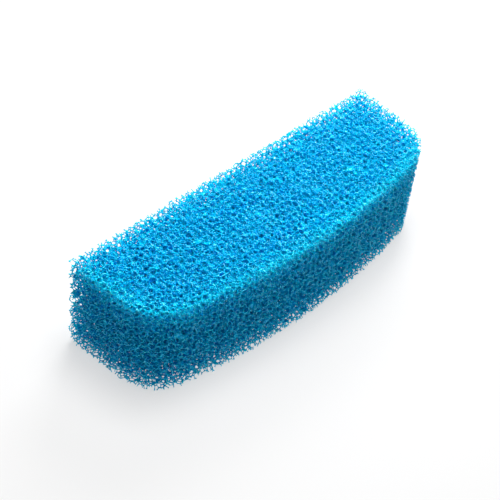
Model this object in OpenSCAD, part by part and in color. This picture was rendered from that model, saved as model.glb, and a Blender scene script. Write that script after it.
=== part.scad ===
// Filter sponge: one block of coarse open-cell foam, contour-cut from a flat sheet.
// The block stands on its bottom face. The origin is the middle of that face's bounding
// rectangle, +X runs along the straight back edge, +Y points to the back and +Z points up.
// The solid is the envelope that the tips of the cut foam strands reach.

/* [Block] */
// Length of the straight back edge
back_length = 150; // [100:1:240]
// Thickness of the foam sheet
thickness = 40; // [20:1:60]
// Depth of each end, from the back edge to the front corner before it is rounded
end_depth = 39; // [38:1:60]
// How far the bowed front stands out in the middle, past its two corners
bow = 9; // [3:0.5:15]
// How far each end leans in, from its back corner to its front corner
end_taper = 2.5; // [0:0.5:8]
// Radius of the two front corners
corner_radius = 18.5; // [5:0.5:19]

/* [Colour] */
// Colour of the foam
foam_colour = "DeepSkyBlue"; // [DeepSkyBlue, DodgerBlue, DimGray, White]

/* [Hidden] */
$fn = 96;

// The bowed front is one arc through both front corners and the middle of the front.
front_length = back_length - 2 * end_taper;
middle_depth = end_depth + bow;
front_radius = (front_length * front_length / 4 + bow * bow) / (2 * bow);
back_y = middle_depth / 2;
front_centre = [0, back_y - middle_depth + front_radius];

// The right end is a straight line from the back corner to the front corner.
end_start = [back_length / 2, back_y];
end_finish = [front_length / 2, back_y - end_depth];
end_run = (end_finish - end_start) / norm(end_finish - end_start);
end_inward = [end_run[1], -end_run[0]];

// The corner circle touches the end line and, from inside, the front arc: its centre lies
// corner_radius inside the end line and front_radius - corner_radius from the front's centre.
corner_base = end_start + corner_radius * end_inward;
base_offset = corner_base - front_centre;
base_along = base_offset * end_run;
centre_reach = front_radius - corner_radius;
corner_shift = sqrt(base_along * base_along - base_offset * base_offset + centre_reach * centre_reach)
    - base_along;
corner_centre = corner_base + corner_shift * end_run;

// Where the corner circle leaves the end line, and where it meets the front arc
end_tangent = corner_centre - corner_radius * end_inward;
corner_away = (corner_centre - front_centre) / norm(corner_centre - front_centre);
front_tangent = front_centre + front_radius * corner_away;

// How far the cutting polygon reaches past the front arc
past_front = 2 * bow;

// How far the corner circles stand past the end lines and the front arc, so that they cross them cleanly
corner_overlap = 0.002;

function mirrored(p) = [-p[0], p[1]];

// The block inside the two chords that cut off the front corners
module trimmed_outline() {
    intersection() {
        translate(front_centre) circle(r = front_radius, $fn = 360);
        polygon([
            mirrored(end_start),
            end_start,
            end_tangent,
            front_tangent,
            front_tangent + past_front * corner_away,
            mirrored(front_tangent + past_front * corner_away),
            mirrored(front_tangent),
            mirrored(end_tangent)
        ]);
    }
}

// The plan of the block: straight back, straight ends, bowed front and rounded front corners
module plan_outline() {
    union() {
        trimmed_outline();
        translate(corner_centre) circle(r = corner_radius + corner_overlap);
        translate(mirrored(corner_centre)) circle(r = corner_radius + corner_overlap);
    }
}

module foam_block() {
    color(foam_colour)
        linear_extrude(height = thickness)
            plan_outline();
}

foam_block();
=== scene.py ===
"""Looks of the filter sponge: a block of coarse open-cell foam, built strand by strand.

The foam is the edge network of a Voronoi froth. Bubbles sit on a jittered body-centred lattice,
four bubbles meet at each node, and three meet along each strand. Strands are three-sided, thin in
the middle and flared at the nodes, and are cut off where they leave the block. A few windows
between bubbles keep a thin film.
"""
import itertools
import math
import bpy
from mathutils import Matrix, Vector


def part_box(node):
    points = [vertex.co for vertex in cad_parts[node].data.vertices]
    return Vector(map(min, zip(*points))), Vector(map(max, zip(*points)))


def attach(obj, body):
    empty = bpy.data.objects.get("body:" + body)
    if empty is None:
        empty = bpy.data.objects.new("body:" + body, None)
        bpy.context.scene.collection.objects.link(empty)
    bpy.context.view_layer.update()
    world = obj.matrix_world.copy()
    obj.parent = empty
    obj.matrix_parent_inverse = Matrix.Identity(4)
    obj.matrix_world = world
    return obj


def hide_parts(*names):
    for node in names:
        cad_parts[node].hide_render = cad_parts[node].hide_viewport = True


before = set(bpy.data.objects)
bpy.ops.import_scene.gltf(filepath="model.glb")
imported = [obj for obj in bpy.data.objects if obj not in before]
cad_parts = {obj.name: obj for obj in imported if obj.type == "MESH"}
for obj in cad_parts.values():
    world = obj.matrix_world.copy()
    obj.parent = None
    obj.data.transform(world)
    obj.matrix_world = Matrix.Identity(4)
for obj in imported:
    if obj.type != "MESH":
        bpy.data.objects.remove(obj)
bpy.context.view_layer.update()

from concurrent.futures import ThreadPoolExecutor

import bpy
import numpy as np
from mathutils import Matrix, Vector

NODE = "foam_block"
LOW, HIGH = (np.array(corner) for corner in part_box(NODE))
LENGTH, DEPTH, HEIGHT = HIGH - LOW
MIDDLE = (LOW + HIGH) / 2

# ---- The foam's own sizes, in metres
CELL = LENGTH / 54                 # width of one bubble
JITTER = 0.31 * CELL               # how far a bubble strays from its lattice place, along each axis
LARGEST_GAP = 0.95 * CELL          # no empty sphere between four bubbles has a larger radius
STRAND = 0.053 * CELL              # from a strand's axis to its corners, halfway along it
FLARE = 0.9                        # how much thicker a strand is at its ends, as a share of STRAND
KNOT = 0.104 * CELL                # from a node's middle to its corners
UNEVEN = 0.18                      # how much strands and nodes differ in size, either way
FRAY = 0.16 * CELL                 # how far below the block's surface a strand may be cut
STUB = 0.75 * KNOT                 # a cut strand ends at least this far from its node's middle
SKIN = 0.08 * CELL                 # a node nearer the surface than this is cut away
FILM_SHARE = 0.055                 # share of the windows between bubbles that kept their film
FILM = 0.006 * CELL                # thickness of such a film
FILM_HOLD = 0.5                    # how far its rim reaches from a node's middle to the corner there
DISH = 0.05 * CELL                 # how far a film's middle stands out of its plane
PAINTED_EDGE_LIGHT_REACH = 3 * CELL                    # how far from the block's edges the painted light reaches, which makes the foam lighter and greener there
SEED = 11

# ---- How the froth is worked out
SPARE = 8                          # half cells of lattice round the block, both sides together
LONGEST_STEP = 3                   # half cells along one axis between bubbles that may touch
STEP_SQUARED = 12                  # the same steps' greatest length, squared
BATCHES = ((0, 4), (4, 8), (8, 14), (14, 26), (26, None))    # near bubbles are tested first
NOWHERE = [10.0, 10.0, 10.0]       # stands in for a bubble that isn't there
RELAX_ROUNDS = 3                   # how often the nodes are evened out
RELAX_SHARE = 0.5                  # how far towards its neighbours' middle a node moves each time
ON_FACE = 1e-5                     # a corner this near the bottom face lies on it
HALVINGS = 16                      # rounds of halving that find where a strand is cut

# ---- How the foam is split, so that no piece has too many faces to export
PIECE_FACES = 190_000              # most triangles in one piece
NODE_FACES = 4                     # triangles of a node
STRAND_FACES = 13                  # triangles of a strand, and of its end where it is cut

# ---- Tables of a node: its four bubbles are 0 to 3 in rising order, and each pair has a corner
PAIRS = list(itertools.combinations(range(4), 2))


def pair(p, q):
    """The corner between the strands that run along the film between bubbles p and q."""
    return PAIRS.index((min(p, q), max(p, q)))


# for each bubble k: the other three, the corners round the strand they share, and the corners of
# the node's face towards k
OTHERS = [[b for b in range(4) if b != k] for k in range(4)]
RINGS = np.array([[pair(p, q), pair(q, r), pair(p, r)] for p, q, r in OTHERS])
FACINGS = np.array([[pair(k, p), pair(k, q), pair(k, r)] for k, (p, q, r) in enumerate(OTHERS)])
# the sign of moving bubble k to the end of the four, which says which way round its corners run
TURN = np.array([-1, 1, -1, 1])

# ---- The froth


def lattice_steps():
    """Steps from one bubble to those that may touch it, in half cells, the nearest first."""
    steps = [
        s for s in itertools.product(range(-LONGEST_STEP, LONGEST_STEP + 1), repeat=3)
        if len({x % 2 for x in s}) == 1 and 0 < np.dot(s, s) <= STEP_SQUARED
    ]
    return sorted(steps, key=lambda s: (np.dot(s, s), s))


def touching_triples(steps):
    """Sets of three steps that can lead from the first bubble round a node to the other three."""
    near = set(steps)
    ahead = sorted(s for s in near if s > (0, 0, 0))
    pairs = itertools.combinations(ahead, 2)
    linked = {(a, b) for a, b in pairs if tuple(np.subtract(b, a)) in near}
    return [
        (a, b, c) for a, b, c in itertools.combinations(ahead, 3)
        if (a, b) in linked and (a, c) in linked and (b, c) in linked
    ]


def bubbles(rng):
    """Bubble centres over the block and a little past it, and each one's neighbours (-1 is none)."""
    half = CELL / 2
    count = [int(math.ceil(side / half)) + SPARE for side in (LENGTH, DEPTH, HEIGHT)]
    grid = np.stack(np.meshgrid(*[np.arange(n) for n in count], indexing="ij"), -1)
    grid = grid.reshape(-1, 3)
    grid = grid[(grid % 2 == grid[:, :1] % 2).all(1)]
    pad = LONGEST_STEP
    index = np.full([n + 2 * pad for n in count], -1)
    index[tuple((grid + pad).T)] = np.arange(len(grid))
    steps = lattice_steps()
    neighbours = np.stack([index[tuple((grid + pad + np.array(s)).T)] for s in steps], 1)
    places = (grid - (np.array(count) - 1) / 2) * half + MIDDLE
    return places + rng.uniform(-JITTER, JITTER, places.shape), neighbours, steps


def froth_nodes(rng):
    """Where four bubbles meet: the centre of each empty sphere through four of them, the four
    bubbles in rising order, and all bubble centres."""
    centres, neighbours, steps = bubbles(rng)
    far = np.vstack([centres, NOWHERE])
    square = (far * far).sum(1)
    column = {s: k for k, s in enumerate(steps)}

    def meeting_points(triple):
        a, b, c = (neighbours[:, column[s]] for s in triple)
        o = np.nonzero((a >= 0) & (b >= 0) & (c >= 0))[0]
        a, b, c = a[o], b[o], c[o]
        u, v, w = far[a] - far[o], far[b] - far[o], far[c] - far[o]
        vw = np.cross(v, w)
        uu, vv, ww = ((x * x).sum(1)[:, None] for x in (u, v, w))
        across = uu * vw + vv * np.cross(w, u) + ww * np.cross(u, v)
        twice = 2 * (u * vw).sum(1)
        small = (across * across).sum(1) < (LARGEST_GAP * twice) ** 2
        o, a, b, c = o[small], a[small], b[small], c[small]
        middle = across[small] / twice[small][:, None] + far[o]
        reach = square[o] - 2 * (middle * far[o]).sum(1)
        for start, end in BATCHES:
            near = neighbours[o, start:end]
            own = (near == a[:, None]) | (near == b[:, None]) | (near == c[:, None])
            away = square[near] - 2 * np.einsum("nkc,nc->nk", far[near], middle)
            empty = ~((away < reach[:, None]) & ~own).any(1)
            o, a, b, c, middle, reach = (x[empty] for x in (o, a, b, c, middle, reach))
        return middle, np.stack([o, a, b, c], 1)

    with ThreadPoolExecutor() as pool:
        found, owners = zip(*pool.map(meeting_points, touching_triples(steps)))
    return np.vstack(found), np.sort(np.vstack(owners), 1), centres


def froth_strands(owners, total):
    """Strands join nodes that share three bubbles. Gives the two nodes of each strand, and which
    of each node's four bubbles is the odd one."""
    keys, nodes, odd = [], [], []
    for k, others in enumerate(OTHERS):
        p, q, r = owners[:, others].T
        keys.append((p * total + q) * total + r)
        nodes.append(np.arange(len(owners)))
        odd.append(np.full(len(owners), k))
    keys, nodes, odd = np.concatenate(keys), np.concatenate(nodes), np.concatenate(odd)
    order = np.argsort(keys, kind="stable")
    keys, nodes, odd = keys[order], nodes[order], odd[order]
    same = np.concatenate([[False], keys[1:] == keys[:-1], [False, False]])
    first = np.nonzero(same[1:-1] & ~same[:-2] & ~same[2:])[0]
    return nodes[first], nodes[first + 1], odd[first], odd[first + 1]


def relaxed(places, a, b):
    """Pulls each node towards the middle of its four neighbours, which evens the strands out."""
    links = np.bincount(np.concatenate([a, b]), minlength=len(places))
    for _ in range(RELAX_ROUNDS):
        total = np.zeros_like(places)
        np.add.at(total, a, places[b])
        np.add.at(total, b, places[a])
        moved = places + RELAX_SHARE * (total / np.maximum(links, 1)[:, None] - places)
        places = np.where((links == 4)[:, None], moved, places)
    return places


# ---- The block that the froth is cut to


def block_walls():
    """The plan's straight edges, from the CAD solid's bottom face: outward normals and offsets."""
    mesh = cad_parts[NODE].data
    points = np.array([v.co for v in mesh.vertices])
    rim = np.unique(points[points[:, 2] < LOW[2] + ON_FACE][:, :2].round(7), axis=0)
    around = rim - rim.mean(0)
    rim = rim[np.argsort(np.arctan2(around[:, 1], around[:, 0]))]
    run = np.roll(rim, -1, axis=0) - rim
    normal = np.stack([run[:, 1], -run[:, 0]], 1)
    normal /= np.linalg.norm(normal, axis=1)[:, None]
    return normal, (normal * rim).sum(1)


WALL_NORMAL, WALL_OFFSET = block_walls()


def depth_inside(points):
    """How far inside the block each point is; negative outside."""
    sides = (WALL_OFFSET - points[:, :2] @ WALL_NORMAL.T).min(1)
    return np.minimum(sides, np.minimum(points[:, 2] - LOW[2], HIGH[2] - points[:, 2]))


def edge_share(points):
    """Share of painted edge light: 1 at the block's edges, falling to 0 at the painted light's reach
    from them.
    """
    sides = (WALL_OFFSET - points[:, :2] @ WALL_NORMAL.T).min(1)
    faces = np.minimum(points[:, 2] - LOW[2], HIGH[2] - points[:, 2])
    ends = LENGTH / 2 - np.abs(points[:, 0] - MIDDLE[0])
    level_edges = np.maximum(sides, faces)
    back_corners = np.maximum(HIGH[1] - points[:, 1], ends)
    return np.clip(1 - np.minimum(level_edges, back_corners) / PAINTED_EDGE_LIGHT_REACH, 0, 1)


def cut_share(inner, outer, limit):
    """How far along the strand from inner to outer its depth falls to limit."""
    low, high = np.zeros(len(inner)), np.ones(len(inner))
    for _ in range(HALVINGS):
        share = (low + high) / 2
        inside = depth_inside(inner + share[:, None] * (outer - inner)) > limit
        low, high = np.where(inside, share, low), np.where(inside, high, share)
    return low


# ---- Strands as solids


def unit(vectors):
    return vectors / np.maximum(np.linalg.norm(vectors, axis=-1, keepdims=True), 1e-12)


class Foam:
    """Nodes and strands of the froth, with the corner points that their solids share."""

    def __init__(self):
        rng = np.random.default_rng(SEED)
        places, owners, centres = froth_nodes(rng)
        a, b, odd_a, odd_b = froth_strands(owners, len(centres))
        p, q, r, s = (centres[owners[:, k]] for k in range(4))
        self.hand = np.sign((np.cross(q - p, r - p) * (s - p)).sum(1)).astype(int)
        places = relaxed(places, a, b)
        self.places = places
        self.owners = owners
        self.centres = centres
        self.inside = depth_inside(places) > SKIN
        self.open = np.ones((len(places), 4), bool)
        self.open[a, odd_a] = self.open[b, odd_b] = False
        run = unit(places[b] - places[a])
        arms = unit(places[:, None] - centres[owners])
        arms[a, odd_a] = run
        arms[b, odd_b] = -run
        size = KNOT * (1 + UNEVEN * rng.uniform(-1, 1, len(places)))
        # corner (p, q) lies between the two strands that run along the film between bubbles p and q
        self.corners = np.empty((len(places), 6, 3))
        for k, (p, q) in enumerate(PAIRS):
            r, s = (x for x in range(4) if x not in (p, q))
            self.corners[:, k] = unit(arms[:, r] + arms[:, s]) * size[:, None]
        # every strand is listed from both of its ends
        self.start = np.concatenate([a, b])
        self.end = np.concatenate([b, a])
        self.odd = np.concatenate([odd_a, odd_b])
        self.odd_end = np.concatenate([odd_b, odd_a])
        self.first = np.repeat([True, False], len(a))
        self.girth = np.tile(STRAND * (1 + UNEVEN * rng.uniform(-1, 1, len(a))), 2)
        self.limit = np.tile(FRAY * rng.uniform(0, 1, len(a)) ** 2, 2)
        keep = self.inside[self.start]
        for name in ("start", "end", "odd", "odd_end", "first", "girth", "limit"):
            setattr(self, name, getattr(self, name)[keep])

    def ring(self, which, share, girth):
        """Three corners round each strand, a share of the way along it, girth away from its axis."""
        start, end = self.start[which], self.end[which]
        run = unit(self.places[end] - self.places[start])
        near = np.take_along_axis(self.corners[start], RINGS[self.odd[which]][:, :, None], 1)
        away = np.take_along_axis(self.corners[end], RINGS[self.odd_end[which]][:, :, None], 1)
        mix = np.clip(share, 0, 1)[:, None, None]
        out = near * (1 - mix) + away * mix
        out = unit(out - (out * run[:, None]).sum(2, keepdims=True) * run[:, None])
        middle = self.places[start] + (self.places[end] - self.places[start]) * share[:, None]
        return middle[:, None] + out * girth[:, None, None]


def flare(share):
    """A strand's girth a share of the way along, over its girth halfway."""
    return 1 + FLARE * np.abs(2 * np.clip(share, 0, 1) - 1) ** 3


def piece_arrays(foam, member):
    """Vertices and faces of one piece's nodes and strands. A strand that leaves the block is cut at
    its surface, and one that goes on in the next piece is cut halfway."""
    nodes = np.nonzero(member)[0]
    number = np.full(len(member), -1)
    number[nodes] = np.arange(len(nodes))
    points = [(foam.places[nodes][:, None] + foam.corners[nodes]).reshape(-1, 3)]
    quads, triangles = [], []
    base = 6 * len(nodes)

    # a node's four faces, one towards each bubble
    for k in range(4):
        face = 6 * np.arange(len(nodes))[:, None] + FACINGS[k]
        flip = foam.hand[nodes] * TURN[k] < 0
        triangles.append(np.where(flip[:, None], face[:, ::-1], face))
        bare = foam.open[nodes, k]
        end = 6 * np.arange(len(nodes))[bare, None] + RINGS[k]
        triangles.append(np.where(flip[bare, None], end, end[:, ::-1]))

    here = member[foam.start]
    whole = np.nonzero(here & member[foam.end] & foam.first)[0]
    shared = np.nonzero(here & foam.inside[foam.end] & ~member[foam.end])[0]
    cut = np.nonzero(here & ~foam.inside[foam.end])[0]

    def node_ring(which, at, odd):
        return 6 * number[at[which]][:, None] + RINGS[odd[which]]

    def tube(near, far, flip):
        for k in range(3):
            m = (k + 1) % 3
            face = np.stack([near[:, k], near[:, m], far[:, m], far[:, k]], 1)
            quads.append(np.where(flip[:, None], face[:, ::-1], face))

    def new_ring(positions):
        nonlocal base
        points.append(positions.reshape(-1, 3))
        ring = base + np.arange(3 * len(positions)).reshape(-1, 3)
        base += 3 * len(positions)
        return ring

    half = np.full(len(foam.start), 0.5)
    flip = -foam.hand[foam.start] * TURN[foam.odd] < 0
    for which in (whole, shared):
        ring = new_ring(foam.ring(which, half[which], foam.girth[which]))
        tube(node_ring(which, foam.start, foam.odd), ring, flip[which])
        if which is whole:
            tube(ring, node_ring(which, foam.end, foam.odd_end), flip[which])
        else:
            triangles.append(np.where(flip[which][:, None], ring[:, ::-1], ring))

    inner, outer = foam.places[foam.start[cut]], foam.places[foam.end[cut]]
    share = cut_share(inner, outer, foam.limit[cut])
    shortest = STUB / np.linalg.norm(outer - inner, axis=1)
    share = np.maximum(share, shortest)
    midway = 0.5 * (share + shortest)
    waist = new_ring(foam.ring(cut, midway, foam.girth[cut] * flare(midway)))
    tip = new_ring(foam.ring(cut, share, foam.girth[cut] * flare(share)))
    tube(node_ring(cut, foam.start, foam.odd), waist, flip[cut])
    tube(waist, tip, flip[cut])
    triangles.append(np.where(flip[cut][:, None], tip[:, ::-1], tip))
    return np.vstack(points), np.vstack(quads), np.vstack(triangles)


def film_arrays(foam, rng):
    """Vertices and faces of the films left in a few windows: thin dished sheets between two bubbles."""
    total = len(foam.centres)
    # the nodes round a window all share the two bubbles on its sides, p and q
    keys, nodes, whole = [], [], []
    for p, q in PAIRS:
        r, s = (x for x in range(4) if x not in (p, q))
        keys.append(foam.owners[:, p] * total + foam.owners[:, q])
        nodes.append(np.arange(len(foam.owners)))
        whole.append(foam.inside & ~foam.open[:, r] & ~foam.open[:, s])
    keys, nodes, whole = np.concatenate(keys), np.concatenate(nodes), np.concatenate(whole)
    corner = np.repeat(np.arange(6), len(foam.owners))
    order = np.argsort(keys, kind="stable")
    keys, nodes, whole, corner = keys[order], nodes[order], whole[order], corner[order]
    starts = np.nonzero(np.concatenate([[True], keys[1:] != keys[:-1]]))[0]
    ends = np.append(starts[1:], len(keys))
    sound = np.logical_and.reduceat(whole, starts) & (ends - starts >= 3)
    sound &= rng.uniform(0, 1, len(starts)) < FILM_SHARE
    points, quads, triangles = [], [], []
    base = 0
    for start, end in zip(starts[sound], ends[sound]):
        p, q = foam.centres[keys[start] // total], foam.centres[keys[start] % total]
        axis = unit(q - p)
        held = foam.corners[nodes[start:end], corner[start:end]]
        rim = foam.places[nodes[start:end]] + FILM_HOLD * held
        middle = rim.mean(0)
        across = unit(np.cross(axis, rim[0] - middle))
        along = np.cross(across, axis)
        rim = rim[np.argsort(np.arctan2((rim - middle) @ across, (rim - middle) @ along))]
        hub = middle + axis * rng.uniform(-DISH, DISH)
        count = len(rim)
        sheet = np.vstack([rim, hub[None]])
        points += [sheet + axis * FILM / 2, sheet - axis * FILM / 2]
        near = np.arange(count)
        far = np.roll(near, -1)
        top, under = base, base + count + 1
        top_hub, under_hub = np.full(count, top + count), np.full(count, under + count)
        triangles.append(np.stack([top + near, top + far, top_hub], 1))
        triangles.append(np.stack([under + far, under + near, under_hub], 1))
        quads.append(np.stack([under + near, under + far, top + far, top + near], 1))
        base += 2 * (count + 1)
    return np.vstack(points), np.vstack(quads), np.vstack(triangles)


def mesh_object(name, points, quads, triangles, material):
    """A smooth-shaded object of the given faces, with the map that its colours are baked to."""
    mesh = bpy.data.meshes.new(name)
    corners = np.concatenate([quads.ravel(), triangles.ravel()]).astype(np.int32)
    sizes = np.repeat([4, 3], [len(quads), len(triangles)])
    starts = np.concatenate([[0], np.cumsum(sizes)[:-1]])
    mesh.vertices.add(len(points))
    mesh.vertices.foreach_set("co", points.astype(np.float32).ravel())
    mesh.loops.add(len(corners))
    mesh.loops.foreach_set("vertex_index", corners)
    mesh.polygons.add(len(sizes))
    mesh.polygons.foreach_set("loop_start", starts.astype(np.int32))
    mesh.polygons.foreach_set("use_smooth", np.ones(len(sizes), bool))
    mesh.update(calc_edges=True)
    mesh.validate()
    # painted light: how much of the lighter, greener edge colour each corner gets
    edge = mesh.attributes.new("edge", "FLOAT", "POINT")
    edge.data.foreach_set("value", edge_share(points).astype(np.float32))
    spot = (points[corners] - points.min(0)) / np.ptp(points, axis=0).max()
    chart = mesh.uv_layers.new(name="OFBake")
    chart.data.foreach_set("uv", spot[:, [0, 2]].astype(np.float32).ravel())
    mesh.materials.append(material)
    item = bpy.data.objects.new(name, mesh)
    bpy.context.scene.collection.objects.link(item)
    return item


# ---- Materials

EDGE_PAINTED_LIGHT_COLOUR = (0.0, 0.63, 0.95, 1)     # painted light: lighter and greener by the edges, standing in for light that has passed through little foam
GRAIN = 1.2 / CELL                     # the colour drifts over about one cell
FOAM_LOOK = {
    "dark": (0.0, 0.46, 0.86, 1), "light": (0.0, 0.58, 0.96, 1),
    "roughness": 0.25, "gloss": 0.8, "glow": 0.8, "reach": 0.12 * CELL,
}
FILM_LOOK = {
    "dark": (0.0, 0.50, 0.87, 1), "light": (0.0, 0.62, 0.97, 1),
    "roughness": 0.2, "gloss": 0.6, "glow": 1.0, "reach": 0.007 * CELL,
}
GLOW_DEPTHS = (0.2, 1.0, 0.9)          # how far red, green and blue light go in, as shares of reach
SHEEN_COLOUR = (0.4, 1.0, 1.0, 1)
FLOOR_GREY = (0.25, 0.25, 0.25, 1)
FLOOR_GLOW = 0.61                      # the floor's own light, which keeps it near white


def foam_material(name, dark, light, roughness, gloss, glow, reach):
    """Dyed polyurethane: a blue that drifts from strand to strand, with painted light that makes it
    lighter and greener by the edges, standing in for light that has passed through little foam.
    """
    material = bpy.data.materials.new(name)
    material.use_nodes = True
    tree = material.node_tree
    shader = tree.nodes["Principled BSDF"]
    place = tree.nodes.new("ShaderNodeTexCoord")
    texture = tree.nodes.new("ShaderNodeTexNoise")
    texture.inputs["Scale"].default_value = GRAIN
    texture.inputs["Detail"].default_value = 3
    tree.links.new(place.outputs["Object"], texture.inputs["Vector"])
    ramp = tree.nodes.new("ShaderNodeValToRGB")
    for element, position, colour in zip(ramp.color_ramp.elements, (0.3, 0.7), (dark, light)):
        element.position = position
        element.color = colour
    tree.links.new(texture.outputs["Fac"], ramp.inputs["Fac"])
    # painted light: the lighter, greener edge colour is mixed in by the block's edges, standing in for
    # light that has passed through little foam
    edge = tree.nodes.new("ShaderNodeAttribute")
    edge.attribute_name = "edge"
    mix = tree.nodes.new("ShaderNodeMixRGB")
    mix.inputs["Color2"].default_value = EDGE_PAINTED_LIGHT_COLOUR
    tree.links.new(edge.outputs["Fac"], mix.inputs["Fac"])
    tree.links.new(ramp.outputs["Color"], mix.inputs["Color1"])
    tree.links.new(mix.outputs["Color"], shader.inputs["Base Color"])
    shader.inputs["Roughness"].default_value = roughness
    shader.inputs["Specular IOR Level"].default_value = gloss
    shader.inputs["Specular Tint"].default_value = SHEEN_COLOUR
    shader.inputs["Subsurface Weight"].default_value = glow
    shader.inputs["Subsurface Radius"].default_value = GLOW_DEPTHS
    shader.inputs["Subsurface Scale"].default_value = reach
    return material


def floor_material():
    """Matt pale grey with a light of its own."""
    material = bpy.data.materials.new("floor")
    material.use_nodes = True
    shader = material.node_tree.nodes["Principled BSDF"]
    shader.inputs["Base Color"].default_value = FLOOR_GREY
    shader.inputs["Roughness"].default_value = 0.9
    shader.inputs["Specular IOR Level"].default_value = 0.1
    shader.inputs["Emission Color"].default_value = (1, 1, 1, 1)
    shader.inputs["Emission Strength"].default_value = FLOOR_GLOW
    return material


# ---- The pieces


def place_piece(piece):
    """Hangs a piece on the block's body, in place of the CAD block."""
    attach(piece, "root")
    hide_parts(NODE)


foam = Foam()
foam_look = foam_material("foam_strands", **FOAM_LOOK)
film_look = foam_material("foam_films", **FILM_LOOK)
reaches_node = foam.inside[foam.end]
strand_count = int(reaches_node.sum() / 2 + (~reaches_node).sum())
face_count = int(NODE_FACES * foam.inside.sum() + STRAND_FACES * strand_count)
slabs = int(math.ceil(face_count / PIECE_FACES))
inside_x = foam.places[foam.inside][:, 0]
edges = np.quantile(inside_x, np.linspace(0, 1, slabs + 1))
edges[0], edges[-1] = -np.inf, np.inf
print(f"foam: {foam.inside.sum()} nodes, {strand_count} strands, {face_count} triangles, {slabs} pieces")
for k in range(slabs):
    here = (foam.places[:, 0] > edges[k]) & (foam.places[:, 0] <= edges[k + 1])
    arrays = piece_arrays(foam, foam.inside & here)
    place_piece(mesh_object(f"foam_strands_{k + 1:02d}", *arrays, foam_look))
arrays = film_arrays(foam, np.random.default_rng(SEED + 1))
place_piece(mesh_object("foam_films", *arrays, film_look))

# ---- Floor, light and camera

# where the studio's wall ends and its ceiling starts, as the sine of the angle above the horizon,
# and how white they are
WALL = (0.11, 0.62)
CEILING = (0.22, 0.04)
FLOOR_REACH = 20 * LENGTH
BOUNCES = 12                       # light goes from strand to strand many times before it gets out


def stage_floor():
    """A wide floor under the block."""
    mesh = bpy.data.meshes.new("floor")
    corners = [(x * FLOOR_REACH, y * FLOOR_REACH, 0) for x, y in ((-1, -1), (1, -1), (1, 1), (-1, 1))]
    mesh.from_pydata(corners, [], [(0, 1, 2, 3)])
    mesh.materials.append(floor_material())
    floor = bpy.data.objects.new("floor", mesh)
    bpy.context.scene.collection.objects.link(floor)
    floor.location.z = LOW[2]


def soft_light(name, place, size, power):
    """A square studio softbox that faces the middle of the block; place is in block lengths."""
    light = bpy.data.lights.new(name, "AREA")
    light.size = size * LENGTH
    light.energy = power
    lamp = bpy.data.objects.new(name, light)
    lamp.location = Vector(place) * LENGTH + Vector(MIDDLE)
    lamp.rotation_euler = (Vector(MIDDLE) - lamp.location).to_track_quat("-Z", "Y").to_euler()
    bpy.context.scene.collection.objects.link(lamp)


def studio_world():
    """A studio that is as pale as the floor round the horizon and dim overhead."""
    world = bpy.data.worlds.new("studio")
    world.use_nodes = True
    tree = world.node_tree
    place = tree.nodes.new("ShaderNodeTexCoord")
    split = tree.nodes.new("ShaderNodeSeparateXYZ")
    ramp = tree.nodes.new("ShaderNodeValToRGB")
    for element, (height, white) in zip(ramp.color_ramp.elements, (WALL, CEILING)):
        element.position = height
        element.color = (white, white, white, 1)
    tree.links.new(place.outputs["Generated"], split.inputs["Vector"])
    tree.links.new(split.outputs["Z"], ramp.inputs["Fac"])
    tree.links.new(ramp.outputs["Color"], tree.nodes["Background"].inputs["Color"])
    tree.nodes["Background"].inputs["Strength"].default_value = 1
    bpy.context.scene.world = world


def view_camera(azimuth, elevation, roll, distance, lens, shift_right, shift_up):
    """The photo's camera: turned by azimuth about +Z and raised by elevation, both in degrees, then
    slid right and up across its view; distances are in block lengths."""
    a, e, r = (math.radians(x) for x in (azimuth, elevation, roll))
    back = Vector((math.sin(a) * math.cos(e), -math.cos(a) * math.cos(e), math.sin(e)))
    level = Vector((math.cos(a), math.sin(a), 0))
    upright = back.cross(level)
    right = math.cos(r) * level + math.sin(r) * upright
    up = math.cos(r) * upright - math.sin(r) * level
    data = bpy.data.cameras.new("camera")
    data.lens = lens
    data.clip_end = 100
    camera = bpy.data.objects.new("camera", data)
    turn = Matrix((right, up, back)).transposed().to_4x4()
    spot = Vector(MIDDLE) + (back * distance - right * shift_right - up * shift_up) * LENGTH
    camera.matrix_world = Matrix.Translation(spot) @ turn
    bpy.context.scene.collection.objects.link(camera)
    bpy.context.scene.camera = camera


stage_floor()
soft_light("overhead", (0.3, 0.2, 3.2), 1.8, 3.3)
soft_light("back", (2.2, 1.5, 2.0), 1.5, 2.4)
studio_world()
bpy.context.scene.view_settings.view_transform = "Standard"
bpy.context.scene.cycles.diffuse_bounces = BOUNCES
bpy.context.scene.cycles.max_bounces = BOUNCES + 4
view_camera(
    azimuth=-50.8, elevation=44.12, roll=7.62, distance=3.453, lens=101.7,
    shift_right=0.0438, shift_up=0.0218,
)
